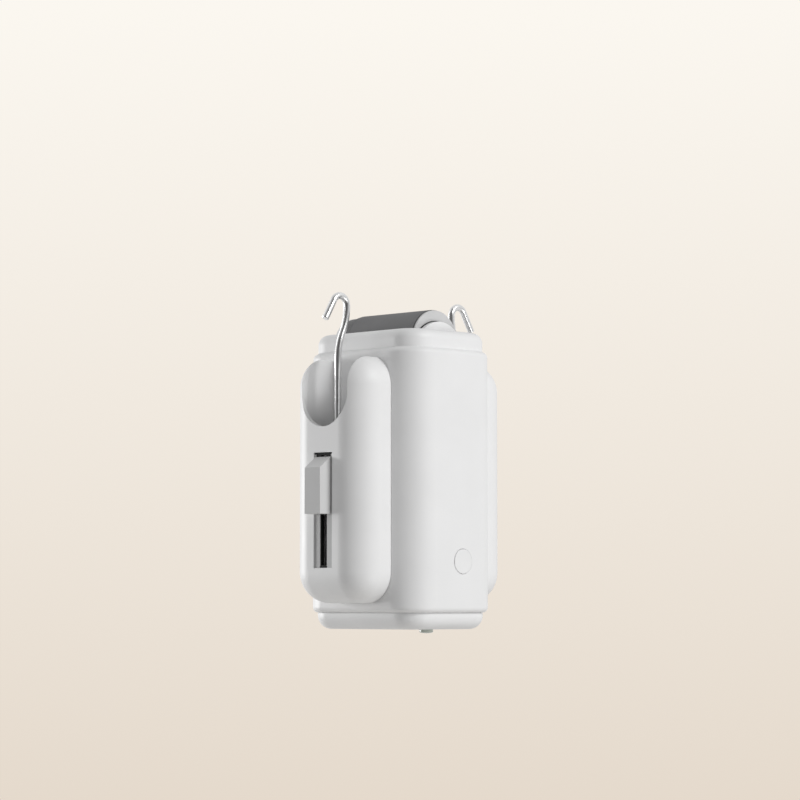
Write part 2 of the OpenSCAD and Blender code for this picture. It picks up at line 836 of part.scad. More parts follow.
// Front and back of the flange that holds the button inside the wall
flange_front = -inner_d / 2 + flange_gap;
flange_back = flange_front + flange_t;

module button_cap() {
  face_y = -body_d / 2 - button_proud;
  color("white") {
    rod_y(button_x, face_y, button_z, button_d / 2, flange_back - face_y);
    rod_y(button_x, flange_front, button_z, flange_r, flange_t);
  }
}

module usb_socket() {
  mouth_w = socket_w - 2 * socket_wall;
  mouth_t = socket_t - 2 * socket_wall;
  color("silver") translate([socket_x, socket_y, socket_sink]) difference() {
    linear_extrude(board_z - socket_sink + socket_up) round_plan(socket_w, socket_t, socket_t / 2 - seat_gap);
    translate([0, 0, -cut]) linear_extrude(socket_depth + cut)
      round_plan(mouth_w, mouth_t, mouth_t / 2 - seat_gap);
  }
}

module light_sensor_lens() {
  color("darkseagreen") translate([0, lens_y, 0]) {
    translate([0, 0, -lens_out]) cylinder(h = lens_out + wall, r = lens_d / 2);
    translate([0, 0, wall]) cylinder(h = lens_flange_t, r = lens_d / 2 + lens_flange);
  }
}

// Fasteners

module rear_cover_screws() {
  color("silver") for (x = [-1, 1], z = cover_screw_z)
    mirror([0, 1, 0]) screw_y(x * cover_screw_x, -plate_back - cover_seat, z);
}

module pod_screws() {
  color("silver") for (side = [0, 1]) mirror([side, 0, 0])
    for (y = [-pod_screw_y, pod_screw_y], z = pod_screw_z) {
      rod_x(inner_w / 2 - screw_head_h, y, z, screw_head_r, screw_head_h);
      rod_x(inner_w / 2, y, z, screw_r, screw_len);
    }
}

module board_screws() {
  color("silver") for (x = [-1, 1], z = board_screw_z)
    mirror([0, 1, 0]) {
      rod_y(x * board_screw_x, -board_y - board_t - screw_head_h, z, screw_head_r, screw_head_h);
      rod_y(x * board_screw_x, -board_y - board_t, z, screw_r, board_t + board_screw_in);
    }
}

// The origin is the roller's crown
module placed() { translate([0, 0, -crown_z]) children(); }

placed() main_housing();
placed() rear_cover();
placed() top_cap();
placed() bottom_cap();
placed() left_pod();
placed() right_pod();
placed() left_slot_liner();
placed() right_slot_liner();
placed() left_slider();
placed() right_slider();
placed() left_carriage();
placed() right_carriage();
placed() left_hook();
placed() right_hook();
placed() left_detent_spring();
placed() right_detent_spring();
placed() roller_core();
placed() roller_sleeve();
placed() roller_bushes();
placed() roller_axle();
placed() front_boss();
placed() roller_gear();
placed() idler_gear();
placed() idler_pin();
placed() motor_pinion();
placed() motor_shaft();
placed() motor();
placed() inner_frame();
placed() battery_cells();
placed() main_pcb();
placed() tact_switch();
placed() button_cap();
placed() usb_socket();
placed() light_sensor_lens();
placed() rear_cover_screws();
placed() pod_screws();
placed() board_screws();
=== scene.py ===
"""Looks of the smart curtain robot: moulded shells, wire hooks, rubber roller and studio."""

import json
import math

import bmesh
import bpy
from mathutils import Matrix, Vector


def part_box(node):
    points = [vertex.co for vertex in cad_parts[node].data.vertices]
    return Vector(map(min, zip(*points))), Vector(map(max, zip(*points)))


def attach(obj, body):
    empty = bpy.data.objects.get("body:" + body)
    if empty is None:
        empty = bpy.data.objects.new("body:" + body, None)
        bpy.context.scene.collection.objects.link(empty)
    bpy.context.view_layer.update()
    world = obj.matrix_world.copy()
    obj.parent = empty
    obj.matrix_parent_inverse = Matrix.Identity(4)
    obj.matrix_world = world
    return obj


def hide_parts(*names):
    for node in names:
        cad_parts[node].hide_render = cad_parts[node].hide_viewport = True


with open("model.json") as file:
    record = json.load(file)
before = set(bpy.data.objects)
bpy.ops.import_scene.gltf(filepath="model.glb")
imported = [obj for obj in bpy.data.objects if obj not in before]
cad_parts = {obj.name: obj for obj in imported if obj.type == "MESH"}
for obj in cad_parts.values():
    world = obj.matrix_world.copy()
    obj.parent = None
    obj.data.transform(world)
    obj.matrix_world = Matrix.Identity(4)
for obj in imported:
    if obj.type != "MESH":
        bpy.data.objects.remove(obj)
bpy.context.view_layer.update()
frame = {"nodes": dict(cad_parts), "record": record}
nodes = frame["nodes"]
MM = 0.001


# Materials: scales are per metre, spreads are shares of the roughness

PLASTIC_IOR = 1.48
RELIEF = 0.02 * MM
GRAIN_SCALE = 5200
GRAIN_DETAIL = 2
PATCH_SCALE = 60
PATCH_SPREAD = 0.12
STREAK_SCALE = 900
STREAK_DETAIL = 3
STREAK_STRENGTH = 0.04
STREAK_SPREAD = 0.22
TINT_SCALE = 120
TINT_DETAIL = 3
TINT_ENDS = (0.35, 0.65)


def node_tree(name):
    """New material with a shader and an output, and its tree."""
    material = bpy.data.materials.new(name)
    material.use_nodes = True
    tree = material.node_tree
    return material, tree, tree.nodes["Principled BSDF"]


def add_bump(tree, shader, scale, detail, strength, depth):
    """Fine relief from noise in the object's own metres."""
    place = tree.nodes.new("ShaderNodeTexCoord")
    noise = tree.nodes.new("ShaderNodeTexNoise")
    noise.inputs["Scale"].default_value = scale
    noise.inputs["Detail"].default_value = detail
    bump = tree.nodes.new("ShaderNodeBump")
    bump.inputs["Strength"].default_value = strength
    bump.inputs["Distance"].default_value = depth
    tree.links.new(place.outputs["Object"], noise.inputs["Vector"])
    tree.links.new(noise.outputs["Fac"], bump.inputs["Height"])
    tree.links.new(bump.outputs["Normal"], shader.inputs["Normal"])
    return place, noise


def vary_colour(tree, shader, place, dark, light, scale):
    """Slow change between two near colours over the surface."""
    noise = tree.nodes.new("ShaderNodeTexNoise")
    noise.inputs["Scale"].default_value = scale
    noise.inputs["Detail"].default_value = TINT_DETAIL
    ramp = tree.nodes.new("ShaderNodeValToRGB")
    for stop, position, colour in zip(ramp.color_ramp.elements, TINT_ENDS, (dark, light)):
        stop.position = position
        stop.color = (*colour, 1)
    tree.links.new(place.outputs["Object"], noise.inputs["Vector"])
    tree.links.new(noise.outputs["Fac"], ramp.inputs["Fac"])
    tree.links.new(ramp.outputs["Color"], shader.inputs["Base Color"])
    return noise


def vary_gloss(tree, shader, noise, roughness, spread):
    """Roughness that follows the noise a little above and below its value."""
    gloss = tree.nodes.new("ShaderNodeMapRange")
    gloss.inputs["To Min"].default_value = roughness * (1 - spread)
    gloss.inputs["To Max"].default_value = roughness * (1 + spread)
    tree.links.new(noise.outputs["Fac"], gloss.inputs["Value"])
    tree.links.new(gloss.outputs["Result"], shader.inputs["Roughness"])


def moulded(name, dark, light, roughness, grain=0.05):
    """Injection-moulded plastic with a fine spark-eroded grain."""
    material, tree, shader = node_tree(name)
    shader.inputs["IOR"].default_value = PLASTIC_IOR
    place, _ = add_bump(tree, shader, GRAIN_SCALE, GRAIN_DETAIL, grain, RELIEF)
    patches = vary_colour(tree, shader, place, dark, light, PATCH_SCALE)
    vary_gloss(tree, shader, patches, roughness, PATCH_SPREAD)
    return material


def metal(name, dark, light, roughness, scale=STREAK_SCALE):
    """Bare metal with slight streaks in its gloss."""
    material, tree, shader = node_tree(name)
    shader.inputs["Metallic"].default_value = 1.0
    place, streaks = add_bump(tree, shader, scale, STREAK_DETAIL, STREAK_STRENGTH, RELIEF)
    vary_gloss(tree, shader, streaks, roughness, STREAK_SPREAD)
    vary_colour(tree, shader, place, dark, light, TINT_SCALE)
    return material


WHITE = moulded("white_moulding", (0.865, 0.865, 0.865), (0.885, 0.885, 0.885), 0.48)
# Darker grey copy of the white moulding: painted shade on the roller core's ends
SHADED_WHITE = moulded("white_painted_shade", (0.62, 0.62, 0.62), (0.66, 0.66, 0.66), 0.45)
SLIDER = moulded("slider_moulding", (0.645, 0.645, 0.645), (0.685, 0.685, 0.685), 0.8)
INNER = moulded("inner_moulding", (0.34, 0.34, 0.345), (0.38, 0.38, 0.385), 0.55)
BLACK = moulded("black_moulding", (0.02, 0.02, 0.02), (0.035, 0.035, 0.035), 0.5)
GEAR = moulded("gear_moulding", (0.72, 0.70, 0.62), (0.78, 0.76, 0.68), 0.4)
BOARD = moulded("solder_mask", (0.02, 0.12, 0.05), (0.03, 0.16, 0.07), 0.35)
CELL = moulded("cell_sleeve", (0.03, 0.22, 0.12), (0.04, 0.26, 0.14), 0.3)
# Matte black for painted shade inside the slider's slit: its liner and its ends
SLIT_SHADE = moulded("slit_shade_black", (0.011, 0.011, 0.011), (0.017, 0.017, 0.017), 0.9)
RUBBER = moulded("roller_rubber", (0.176, 0.176, 0.179), (0.208, 0.208, 0.211), 0.75, grain=0.3)
HOOD = moulded("hood_moulding", (0.15, 0.15, 0.152), (0.17, 0.17, 0.172), 0.6)
LENS = moulded("sensor_lens", (0.52, 0.56, 0.50), (0.57, 0.61, 0.55), 0.18, grain=0.01)
WIRE = metal("bright_wire", (0.80, 0.80, 0.80), (0.86, 0.86, 0.86), 0.3, scale=60)
# Grey for painted shade on the floor of the slider's recess
RECESS_SHADE = moulded("slot_inlay", (0.50, 0.50, 0.50), (0.54, 0.54, 0.54), 0.5)
CONTACT = metal("gilt_contact", (0.70, 0.52, 0.22), (0.78, 0.60, 0.28), 0.25)
STEEL = metal("plain_steel", (0.50, 0.50, 0.51), (0.60, 0.60, 0.61), 0.32)
BRONZE = metal("bush_bronze", (0.55, 0.38, 0.16), (0.62, 0.45, 0.20), 0.35)

BY_SLOT = {
    "shell": WHITE,
    "slider": SLIDER,
    "wire": WIRE,
    "steel": STEEL,
    "rubber": RUBBER,
    "bronze": BRONZE,
    "gear": GEAR,
    "inner_plastic": INNER,
    "battery": CELL,
    "board": BOARD,
    "black_plastic": BLACK,
    "lens": LENS,
}


def dress(obj, material):
    """One material on the whole object."""
    obj.data.materials.clear()
    obj.data.materials.append(material)


for part in frame["record"]["subparts"]:
    dress(nodes[part["node"]], BY_SLOT[part["material_slot"]])


# Mesh building: lengths are in millimetres until MM turns them into metres

WELD = 0.001 * MM
LATHE_WELD = 0.0001 * MM
FLAT_ANGLE = math.radians(0.2)


def finish_mesh(bm, name, smooth_angle=32):
    """Turn the bmesh into a smooth-shaded mesh object in the scene."""
    mesh = bpy.data.meshes.new(name)
    bmesh.ops.recalc_face_normals(bm, faces=bm.faces)
    bm.to_mesh(mesh)
    bm.free()
    mesh.shade_smooth()
    mesh.set_sharp_from_angle(angle=math.radians(smooth_angle))
    obj = bpy.data.objects.new(name, mesh)
    bpy.context.scene.collection.objects.link(obj)
    weighted = obj.modifiers.new("weighted", "WEIGHTED_NORMAL")
    weighted.keep_sharp = True
    return obj


def place_piece(obj, material, body, slot, *replaced):
    """Dress the piece, let it ride on a body and stand for its CAD nodes."""
    dress(obj, material)
    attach(obj, body)
    if replaced:
        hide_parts(*replaced)


def node_bmesh(node):
    """Welded copy of a CAD node's mesh, with its flat faces joined."""
    bm = bmesh.new()
    bm.from_mesh(nodes[node].data)
    bmesh.ops.remove_doubles(bm, verts=bm.verts, dist=WELD)
    bmesh.ops.dissolve_limit(bm, angle_limit=FLAT_ANGLE, verts=bm.verts, edges=bm.edges)
    return bm


def anywhere(point):
    """Every edge may be eased."""
    return True


def eased(node, width, chosen=anywhere, segments=3, sharp=38):
    """Copy of a CAD node whose chosen sharp outer edges are eased by a small rounding."""
    bm = node_bmesh(node)
    edges = []
    for edge in bm.edges:
        outer = len(edge.link_faces) == 2 and edge.is_convex
        middle = (edge.verts[0].co + edge.verts[1].co) / 2 / MM
        if outer and edge.calc_face_angle() > math.radians(sharp) and chosen(middle):
            edges.append(edge)
    bmesh.ops.bevel(
        bm, geom=edges, offset=width * MM, segments=segments, profile=0.5,
        affect="EDGES", clamp_overlap=False, miter_outer="SHARP", loop_slide=True,
    )
    return bm


def lathe(profile, place, axis, segments=96):
    """Surface of revolution from (radius, distance along the axis) pairs in millimetres."""
    bm = bmesh.new()
    rings = []
    for radius, along in profile:
        count = segments if radius > 0 else 1
        turns = [2 * math.pi * i / segments for i in range(count)]
        rings.append([
            bm.verts.new((radius * math.cos(turn), radius * math.sin(turn), along)) for turn in turns
        ])
    for low, high in zip(rings, rings[1:]):
        for i in range(segments):
            j = (i + 1) % segments
            corners = [low[i % len(low)], low[j % len(low)], high[j % len(high)], high[i % len(high)]]
            bm.faces.new(list(dict.fromkeys(corners)))
    turn = Vector((0, 0, 1)).rotation_difference(Vector(axis)).to_matrix().to_4x4()
    bm.transform(Matrix.Scale(MM, 4) @ Matrix.Translation(place) @ turn)
    bmesh.ops.remove_doubles(bm, verts=bm.verts, dist=LATHE_WELD)
    return bm


def add_box(bm, low, high):
    """Block between two corners in millimetres."""
    middle = (Vector(low) + Vector(high)) / 2
    size = Vector(high) - Vector(low)
    place = Matrix.Translation(middle * MM) @ Matrix.Diagonal((*(size * MM), 1))
    bmesh.ops.create_cube(bm, size=1, matrix=place)


def add_prism(bm, near, far):
    """Closed prism between two faces with as many corners, in millimetres."""
    loops = []
    for face in (near, far):
        loop = [bm.verts.new(Vector(corner) * MM) for corner in face]
        bm.faces.new(loop)
        loops.append(loop)
    for i in range(len(near)):
        j = (i + 1) % len(near)
        bm.faces.new((loops[0][i], loops[0][j], loops[1][j], loops[1][i]))


def span(node):
    """Lowest and highest corner of a CAD node in millimetres."""
    low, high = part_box(node)
    return low / MM, high / MM


# Moulded shells

# CAD node, name of the piece and width of its eased edges
EASED_SHELLS = (
    ("main_housing", "front_tub", 0.25),
    ("top_cap", "top_shell", 0.25),
    ("bottom_cap", "bottom_shell", 0.25),
    ("front_boss", "bearing_arch", 0.3),
)
# Sizes of the part that its boxes don't tell
NOTCH_W = 23.4
NOTCH_H = 26.2
SLOT_W = 9.4
CORNER_R = 12
CAP_INSET = 1.85
ARCH_R = 12.3
ARCH_H = 3.5
# Trim, and how near a place counts as being on a face
HOOD_RIM = 1.4
FACE_GAP = 0.02
NEAR = 0.1
POD_EASE = 0.15
SLIDER_EASE = 0.08
SLIDER_SHARP = 30
# Corners of the seam's bead: out from the cap's wall and up from the seam
BEAD_SECTION = ((0, 0.42), (0.14, 0.13), (0.42, -0.09), (-0.1, -0.05))


def cut_hood(bm, is_hood):
    """Cut the gear hood in front of the white rim at its rear end, and give the rim's place along Y."""
    faces = [face for face in bm.faces if is_hood(face.calc_center_median() / MM)]
    edges = {edge for face in faces for edge in face.edges}
    verts = {vert for face in faces for vert in face.verts}
    rim_y = max(vert.co.y for vert in verts) / MM - HOOD_RIM
    bmesh.ops.bisect_plane(
        bm, geom=faces + list(edges) + list(verts), plane_co=(0, rim_y * MM, 0), plane_no=(0, 1, 0),
    )
    return rim_y


def make_shells():
    """White mouldings with eased edges; the gear hood behind the roller is dark up to its rear rim."""
    roller_back = span("roller_core")[1].y
    cap_top = span("front_boss")[1].z - ARCH_H

    def is_hood(place):
        return place.y > roller_back and place.z > cap_top + FACE_GAP

    for node, name, width in EASED_SHELLS:
        bm = eased(node, width)
        rim_y = cut_hood(bm, is_hood) if node == "top_cap" else None
        piece = finish_mesh(bm, name)
        place_piece(piece, WHITE, "housing", "shell", node)
        if node == "top_cap":
            piece.data.materials.append(HOOD)
            for face in piece.data.polygons:
                place = face.center / MM
                if is_hood(place) and place.y < rim_y:
                    face.material_index = 1


def rounded_outline(width, depth, radius, steps=16):
    """Points round a rectangle with rounded corners, in millimetres."""
    points = []
    corners = ((1, 1, 0), (-1, 1, 90), (-1, -1, 180), (1, -1, 270))
    for side_x, side_y, start in corners:
        for i in range(steps + 1):
            angle = math.radians(start + 90 * i / steps)
            points.append((
                side_x * (width / 2 - radius) + radius * math.cos(angle),
                side_y * (depth / 2 - radius) + radius * math.sin(angle),
            ))
    return points


def make_seam_bead():
    """Fine bead that softens the seam between the top cap and the housing."""
    low, high = span("main_housing")
    width = high.x - low.x - 2 * CAP_INSET
    # The body is as deep behind the frame's origin as in front of it
    depth = -2 * low.y - 2 * CAP_INSET
    radius = CORNER_R - CAP_INSET
    bm = bmesh.new()
    loops = []
    for out, rise in BEAD_SECTION:
        outline = rounded_outline(width + 2 * out, depth + 2 * out, radius + out)
        loops.append([bm.verts.new(Vector((x, y, high.z + rise)) * MM) for x, y in outline])
    for inner, outer in zip(loops, loops[1:] + loops[:1]):
        for i in range(len(inner)):
            j = (i + 1) % len(inner)
            bm.faces.new((inner[i], inner[j], outer[j], outer[i]))
    place_piece(finish_mesh(bm, "seam_bead", smooth_angle=60), WHITE, "housing", "shell")


def make_pods():
    """Side pods with an eased rim round the notch and the slider's slot."""
    high = span("right_pod")[1]
    notch_r = NOTCH_W / 2
    notch_z = high.z - NOTCH_H + notch_r

    def at_rim(point):
        across = abs(point.y) if point.z > notch_z else math.hypot(point.y, point.z - notch_z)
        at_slot = abs(point.x) > high.x - NEAR and abs(point.y) < SLOT_W / 2 + NEAR
        return abs(across - notch_r) < POD_EASE or at_slot

    for side in ("left", "right"):
        piece = finish_mesh(eased(side + "_pod", POD_EASE, at_rim), side + "_pod_shell")
        place_piece(piece, WHITE, "housing", "shell", side + "_pod")


def make_sliders():
    """Finger pieces, a little greyer than the pods."""
    for side in ("left", "right"):
        bm = eased(side + "_slider", SLIDER_EASE, sharp=SLIDER_SHARP)
        piece = finish_mesh(bm, side + "_finger_slider")
        place_piece(piece, SLIDER, side + "_lift", "slider", side + "_slider")


# The slit between the grey sheets of painted shade has a wider upper end, like the one in the liner
# behind it
SLIT_W = 3.8
ENTRY_W = 7.6
ENTRY_H = 3.2
SLIT_END = 0.6
RECESS_SHADE_T = 0.06
RECESS_SHADE_GAP = 0.05


def make_slot_shades():
    """Grey sheets of painted shade on the floor of each slider's recess beside the slit, and black
    sheets of painted shade at the slit's ends.
    """
    low, high = span("right_slot_liner")
    bottom = low.z - SLIT_END
    top = high.z + SLIT_END
    outer = SLOT_W / 2 - RECESS_SHADE_GAP
    entry = ENTRY_W / 2
    slit = SLIT_W / 2
    strip = [
        (outer, bottom), (outer, high.z), (entry, high.z), (entry, high.z - ENTRY_H),
        (slit, high.z - ENTRY_H), (slit, bottom),
    ]
    other_strip = [(-y, z) for y, z in strip]
    head = [(outer, high.z), (outer, top), (-outer, top), (-outer, high.z)]
    foot = [(slit, bottom), (slit, low.z), (-slit, low.z), (-slit, bottom)]
    # Grey sheets paint the shade on the recess floor, black sheets paint the shade at the slit's ends
    groups = (((strip, other_strip), "_slot_recess_shade", RECESS_SHADE), ((head, foot), "_slot_end_shade", SLIT_SHADE))
    for side, sign in (("left", -1), ("right", 1)):
        # The liner behind the slit is dressed matte black as painted shade
        dress(nodes[side + "_slot_liner"], SLIT_SHADE)
        for outlines, name, material in groups:
            bm = bmesh.new()
            for outline in outlines:
                faces = [[(sign * x, y, z) for y, z in outline] for x in (high.x, high.x + RECESS_SHADE_T)]
                add_prism(bm, *faces)
            place_piece(finish_mesh(bm, side + name), material, "housing", "black_plastic")


# Roller

SLEEVE_T = 1.4
CORE_EASE = 0.3
ROLLER_SIDES = 160
# Black ring painted as the shadow in the gap in front of the sleeve: how far its faces are inside the
# sleeve's radius, and its length
SLEEVE_SHADE_INNER = 0.3
SLEEVE_SHADE_OUTER = 0.1
SLEEVE_SHADE_LEN = 0.5
# Black line painted as the shadow in the gap round the bearing arch
ARCH_SHADE_W = 0.35
ARCH_SHADE_T = 0.12
ARCH_SHADE_STEPS = 40


def make_roller():
    """Rubber sleeve with a moulded lip at each end, on a white core whose ends are painted a darker
    grey as shade, and a black ring painted as the shadow in front of the sleeve.
    """
    low, high = span("roller_sleeve")
    radius = (high.x - low.x) / 2
    bore = radius - SLEEVE_T
    axis_z = (low.z + high.z) / 2
    length = high.y - low.y
    lip = 1.1
    groove = 0.12
    ease = 0.3
    half = [
        (bore, 0), (radius - ease, 0), (radius - ease * 0.3, ease * 0.3), (radius, ease),
        (radius, lip - groove), (radius - groove, lip), (radius, lip + groove),
    ]
    profile = half + [(r, length - y) for r, y in reversed(half)] + half[:1]
    bm = lathe(profile, (0, low.y, axis_z), (0, 1, 0), ROLLER_SIDES)
    sleeve = finish_mesh(bm, "rubber_sleeve", smooth_angle=50)
    place_piece(sleeve, RUBBER, "roller", "rubber", "roller_sleeve")
    # The white core's ends get a darker grey: painted shade
    core = finish_mesh(eased("roller_core", CORE_EASE), "roller_ends")
    place_piece(core, SHADED_WHITE, "roller", "shell", "roller_core")
    core.data.materials.append(HOOD)
    for face in core.data.polygons:
        if face.center.y / MM > high.y - FACE_GAP:
            face.material_index = 1
    # Black ring in front of the sleeve: painted shadow of the gap
    inner = radius - SLEEVE_SHADE_INNER
    outer = radius - SLEEVE_SHADE_OUTER
    shade_section = [(inner, -SLEEVE_SHADE_LEN), (outer, -SLEEVE_SHADE_LEN), (outer, 0), (inner, 0)]
    ring = lathe(shade_section + shade_section[:1], (0, low.y, axis_z), (0, 1, 0), ROLLER_SIDES)
    place_piece(finish_mesh(ring, "sleeve_gap_shade"), BLACK, "roller", "black_plastic")


def make_arch_gap_shade():
    """Black line painted as the shadow in the gap round the bearing arch, in front of the roller's end.
    """
    middle_z = span("front_boss")[1].z - ARCH_R
    back = span("roller_core")[0].y - ARCH_SHADE_T
    radius = ARCH_R + ARCH_SHADE_W
    reach = math.acos((ARCH_R - ARCH_H) / radius)
    outline = []
    for i in range(ARCH_SHADE_STEPS + 1):
        angle = reach * (2 * i / ARCH_SHADE_STEPS - 1)
        outline.append((radius * math.sin(angle), middle_z + radius * math.cos(angle)))
    bm = bmesh.new()
    faces = [[(x, y, z) for x, z in outline] for y in (back - ARCH_SHADE_T, back)]
    add_prism(bm, *faces)
    place_piece(finish_mesh(bm, "arch_gap_shade"), BLACK, "housing", "black_plastic")


# Hooks

WIRE_D = 2.5
# From LEAN_Z up the wire leans inwards in two arcs, as far as the crown
LEAN_Z = -18.7
LEAN_IN = 4.4
LEAN_H = 19.5
HOOK_R = 3.5
TIP_SLANT = math.radians(31)
TIP_LEN = 8.4
LEAN_STEPS = 14
CROWN_STEPS = 36


def arc(x, z, radius, start, end, steps, turn):
    """Stations along an arc of the wire: x, z and the angle across the wire."""
    stations = []
    for i in range(1, steps + 1):
        angle = start + (end - start) * i / steps
        stations.append((x + radius * math.cos(angle), z + radius * math.sin(angle), angle + turn))
    return stations


def hook_stations(shank_x, foot_z):
    """Shank, two arcs that lean inwards, crown and slanted tip with a rounded end."""
    lean = 2 * math.atan(LEAN_IN / LEAN_H)
    lean_r = LEAN_H / (2 * math.sin(lean))
    crown_x = shank_x - LEAN_IN + HOOK_R
    crown_z = LEAN_Z + LEAN_H
    tip_x = crown_x + HOOK_R * math.cos(TIP_SLANT)
    tip_z = crown_z + HOOK_R * math.sin(TIP_SLANT)
    stations = [(shank_x, foot_z, 0), (shank_x, LEAN_Z, 0)]
    stations += arc(shank_x - lean_r, LEAN_Z, lean_r, 0, lean, LEAN_STEPS, 0)
    upper_x = shank_x - LEAN_IN + lean_r
    stations += arc(upper_x, crown_z, lean_r, math.pi + lean, math.pi, LEAN_STEPS, -math.pi)
    stations += arc(crown_x, crown_z, HOOK_R, math.pi, TIP_SLANT, CROWN_STEPS, -math.pi)
    end_x = tip_x + TIP_LEN * math.sin(TIP_SLANT)
    end_z = tip_z - TIP_LEN * math.cos(TIP_SLANT)
    return stations + [(end_x, end_z, TIP_SLANT - math.pi)]


def swept_wire(stations, mirror, sides=32, ease=0.35):
    """Round wire along the stations, with eased ends."""
    radius = WIRE_D / 2
    rings = [(x, z, turn, radius) for x, z, turn in stations]
    x, z, turn = stations[-1]
    ahead = (math.sin(-turn), math.cos(-turn))
    rings[-1] = (x - ease * ahead[0], z - ease * ahead[1], turn, radius)
    for part in (0.5, 0.8, 1.0):
        inner = radius - ease * (1 - math.sqrt(1 - part * part))
        along = ease * (part - 1)
        rings.append((x + along * ahead[0], z + along * ahead[1], turn, inner))
    bm = bmesh.new()
    loops = []
    for x, z, turn, size in rings:
        loop = []
        for j in range(sides):
            angle = 2 * math.pi * j / sides
            across = size * math.cos(angle)
            out = mirror * (x + across * math.cos(turn))
            up = z + across * math.sin(turn)
            loop.append(bm.verts.new(Vector((out, size * math.sin(angle), up)) * MM))
        loops.append(loop)
    for low, high in zip(loops, loops[1:]):
        for j in range(sides):
            k = (j + 1) % sides
            bm.faces.new((low[j], low[k], high[k], high[j]))
    bm.faces.new(loops[0])
    bm.faces.new(loops[-1])
    return bm


def make_hooks():
    """Bright bent wires, one on each lift."""
    low, high = span("right_hook")
    tip_reach = HOOK_R * (1 + math.cos(TIP_SLANT)) - LEAN_IN + TIP_LEN * math.sin(TIP_SLANT)
    shank_x = high.x - tip_reach - WIRE_D / 2 * math.cos(TIP_SLANT)
    for side, mirror in (("left", -1), ("right", 1)):
        bm = swept_wire(hook_stations(shank_x, low.z), mirror)
        wire = finish_mesh(bm, side + "_bent_wire", smooth_angle=50)
        place_piece(wire, WIRE, side + "_lift", "wire", side + "_hook")


# Small pieces

# Width of the flange that keeps the button and the lens from falling out
FLANGE = 1
DISH_DEPTH = 0.12
DISH_STEPS = 8
BUTTON_EASE = 0.35
BUTTON_CHAMFER = 0.1
BUTTON_FLANGE_T = 0.8
DOME_H = 0.5
DOME_ANGLES = (0.4, 0.8, 1.15, 1.4)
LENS_SIDES = 64
LENS_FLANGE_T = 1


def make_button():
    """Round button with a shallow dish and an eased rim."""
    low, high = span("button_cap")
    flange_r = (high.x - low.x) / 2
    place = ((low.x + high.x) / 2, low.y, (low.z + high.z) / 2)
    radius = flange_r - FLANGE
    depth = high.y - low.y
    ledge = depth - BUTTON_FLANGE_T
    dish = []
    for step in range(DISH_STEPS):
        share = step / DISH_STEPS
        dish.append((radius * share, DISH_DEPTH * (1 - share ** 2)))
    rim = [(radius - BUTTON_EASE, 0), (radius - BUTTON_CHAMFER, BUTTON_CHAMFER), (radius, BUTTON_EASE)]
    skirt = [(radius, ledge), (flange_r, ledge), (flange_r, depth), (0, depth)]
    cap = finish_mesh(lathe(dish + rim + skirt, place, (0, 1, 0)), "push_button", smooth_angle=40)
    place_piece(cap, WHITE, "button", "shell", "button_cap")


def make_lens():
    """Sensor window with a softly domed end below the bottom cap."""
    low, high = span("light_sensor_lens")
    flange_r = (high.x - low.x) / 2
    radius = flange_r - FLANGE
    depth = high.z - low.z
    ledge = depth - LENS_FLANGE_T
    dome = [(0, 0)]
    for angle in DOME_ANGLES:
        dome.append((radius * math.sin(angle), DOME_H * (1 - math.cos(angle))))
    body = [(radius, DOME_H), (radius, ledge), (flange_r, ledge), (flange_r, depth), (0, depth)]
    place = ((low.x + high.x) / 2, (low.y + high.y) / 2, low.z)
    bm = lathe(dome + body, place, (0, 0, 1), LENS_SIDES)
    lens = finish_mesh(bm, "sensor_window", smooth_angle=40)
    place_piece(lens, LENS, "housing", "lens", "light_sensor_lens")


def screw_form(bm, place, head_r, head_h, shank_r, shank_len):
    """Round-headed screw along -Y with a cross recess, its seat at the given place."""
    slot_half = head_r * 0.18
    slot_end = head_r * 0.66
    depth = head_h * 0.55
    edge = 0.3
    sides = 48
    cross = []
    for turn in range(4):
        quarter = turn * math.pi / 2
        for x, z in ((slot_half, slot_half), (slot_half, slot_end), (-slot_half, slot_end)):
            cross.append((
                x * math.cos(quarter) - z * math.sin(quarter),
                x * math.sin(quarter) + z * math.cos(quarter),
            ))
    round_rim = [
        (math.cos(2 * math.pi * i / sides), math.sin(2 * math.pi * i / sides)) for i in range(sides)
    ]

    def ring(points, scale, along):
        return [
            bm.verts.new((Vector((place[0] + scale * x, place[1] + along, place[2] + scale * z))) * MM)
            for x, z in points
        ]

    def wall(low, high):
        for i in range(len(low)):
            j = (i + 1) % len(low)
            bm.faces.new((low[i], low[j], high[j], high[i]))

    mouth = ring(cross, 1, head_h)
    pit = ring(cross, 1, head_h - depth)
    rings = [
        ring(round_rim, head_r - edge, head_h),
        ring(round_rim, head_r, head_h - edge),
        ring(round_rim, head_r, 0),
        ring(round_rim, shank_r, 0),
        ring(round_rim, shank_r, -shank_len),
    ]
    for low, high in zip(rings, rings[1:]):
        wall(low, high)
    wall(mouth, pit)
    bm.faces.new(pit)
    bm.faces.new(rings[-1])
    rim_edges = []
    for loop in (mouth, rings[0]):
        for i in range(len(loop)):
            rim_edges.append(bm.edges.get((loop[i], loop[(i + 1) % len(loop)])))
    bmesh.ops.triangle_fill(bm, use_beauty=True, edges=rim_edges)


def make_rear_screws():
    """The four screws that hold the rear cover, deep in their counterbores."""
    low, high = span("rear_cover_screws")
    head_r = 2.3
    head_h = 1.5
    shank_r = 1.2
    shank_len = high.y - low.y - head_h
    bm = bmesh.new()
    for x in (low.x + head_r, high.x - head_r):
        for z in (low.z + head_r, high.z - head_r):
            screw_form(bm, (x, high.y - head_h, z), head_r, head_h, shank_r, shank_len)
    piece = finish_mesh(bm, "cross_head_screws", smooth_angle=40)
    place_piece(piece, STEEL, "housing", "steel", "rear_cover_screws")


